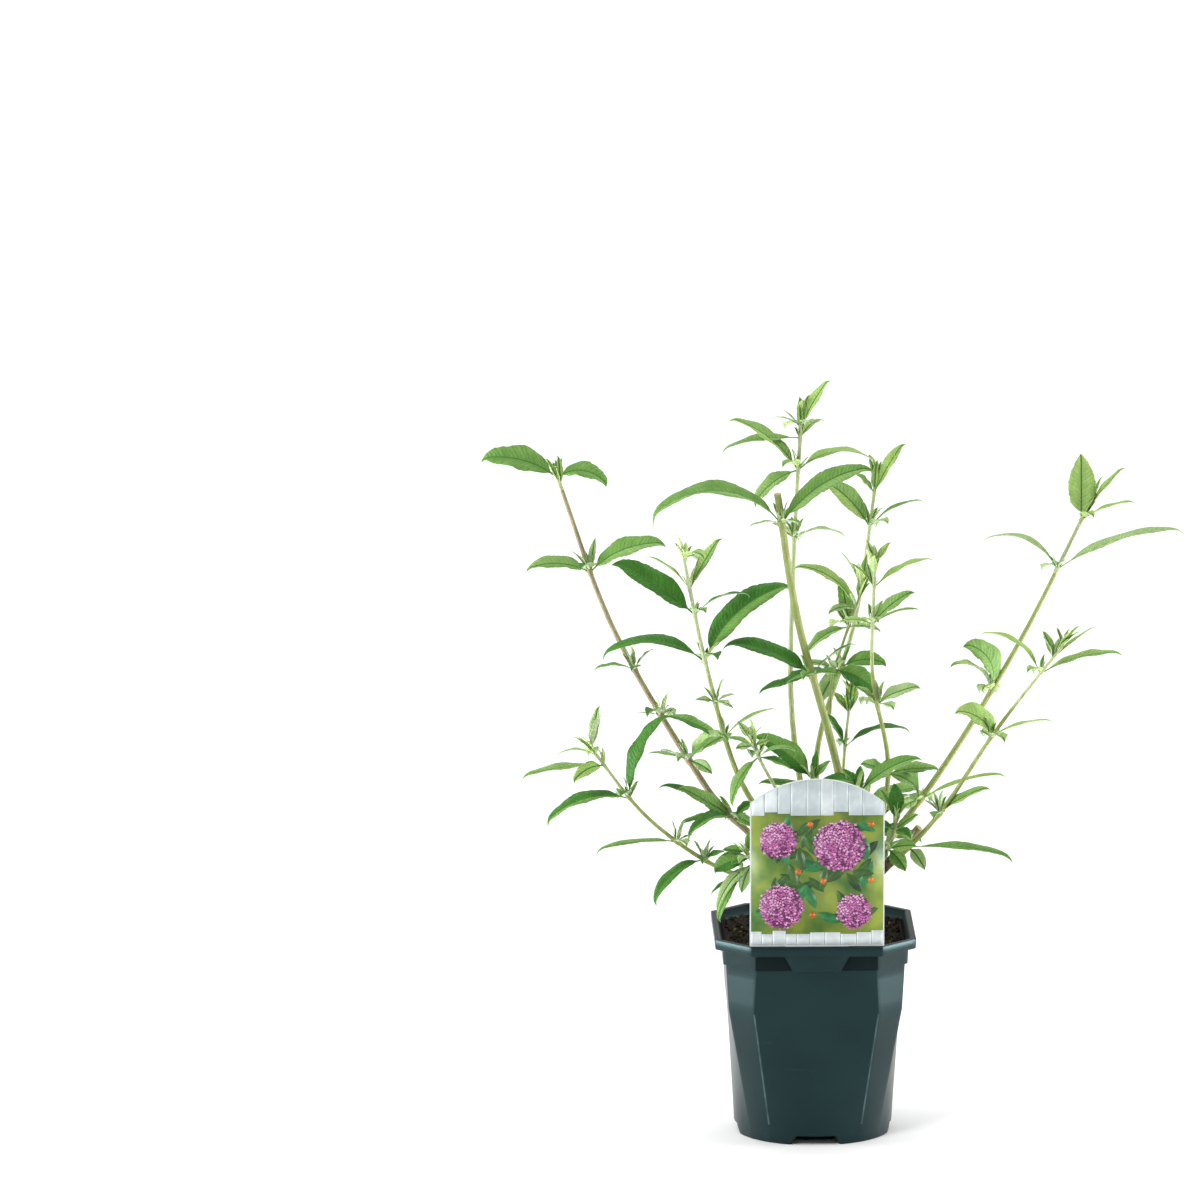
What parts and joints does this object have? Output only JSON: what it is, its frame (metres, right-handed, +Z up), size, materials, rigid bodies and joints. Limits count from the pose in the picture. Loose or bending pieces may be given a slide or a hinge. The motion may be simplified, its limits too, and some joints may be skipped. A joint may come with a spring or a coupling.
{
  "type": "potted_butterfly_bush",
  "caption": "Young butterfly bush in a square-rimmed nursery pot of peat compost, with long leafy stems from a woody crown and a picture label",
  "frame": {"origin": "the centre of the pot's flat underside, on the ground", "axes": "+Z up, -Y the front of the pot where the label stands, +X to the right seen from the front"},
  "size_m": [0.5979, 0.3003, 0.6245],
  "materials": {
    "pot_plastic": "satin",
    "peat_compost": "matte",
    "label_card": "satin",
    "old_wood": "matte",
    "green_wood": "matte",
    "foliage": "matte"
  },
  "bodies": {
    "root": {"basal_back": "foliage", "basal_back_left": "foliage", "compost": "peat_compost", "leaves_back_right_1": "foliage", "leaves_cut_1": "foliage", "leaves_cut_1_back": "foliage", "leaves_cut_2": "foliage", "leaves_far_left_1": "foliage", "leaves_far_left_1_back": "foliage", "leaves_far_left_2": "foliage", "leaves_far_left_3": "foliage", "leaves_far_left_3_back": "foliage", "leaves_far_left_4": "foliage", "leaves_far_right_1": "foliage", "leaves_far_right_1_back": "foliage", "leaves_far_right_2": "foliage", "leaves_far_right_2_back": "foliage", "leaves_left_1": "foliage", "leaves_left_2": "foliage", "leaves_low_left_1": "foliage", "leaves_low_left_2": "foliage", "leaves_low_left_3": "foliage", "leaves_near_right_1": "foliage", "leaves_near_right_2": "foliage", "leaves_near_right_3": "foliage", "leaves_near_right_3_back": "foliage", "leaves_right_1": "foliage", "leaves_right_2": "foliage", "leaves_right_2_back": "foliage", "pot": "pot_plastic", "shoot_back_right": "foliage", "shoot_centre": "foliage", "shoot_centre_right": "foliage", "shoot_far_left": "foliage", "shoot_far_right": "foliage", "shoot_forked": "foliage", "shoot_inner_left": "foliage", "shoot_left": "foliage", "shoot_low_front_left": "foliage", "shoot_low_left": "foliage", "shoot_low_right": "foliage", "shoot_near_right": "foliage", "shoot_right": "foliage", "shoot_slender": "foliage", "shoot_tall": "foliage", "stem_back_right": "green_wood", "stem_cut": "green_wood", "stem_cut_stub": "green_wood", "stem_far_left": "green_wood", "stem_far_right": "green_wood", "stem_inner_left": "green_wood", "stem_left": "green_wood", "stem_low_left": "green_wood", "stem_near_right": "green_wood", "stem_right": "green_wood", "stem_slender": "green_wood", "stem_tall": "green_wood", "tag": "label_card", "woody_crown": "old_wood"}
  },
  "joints": []
}
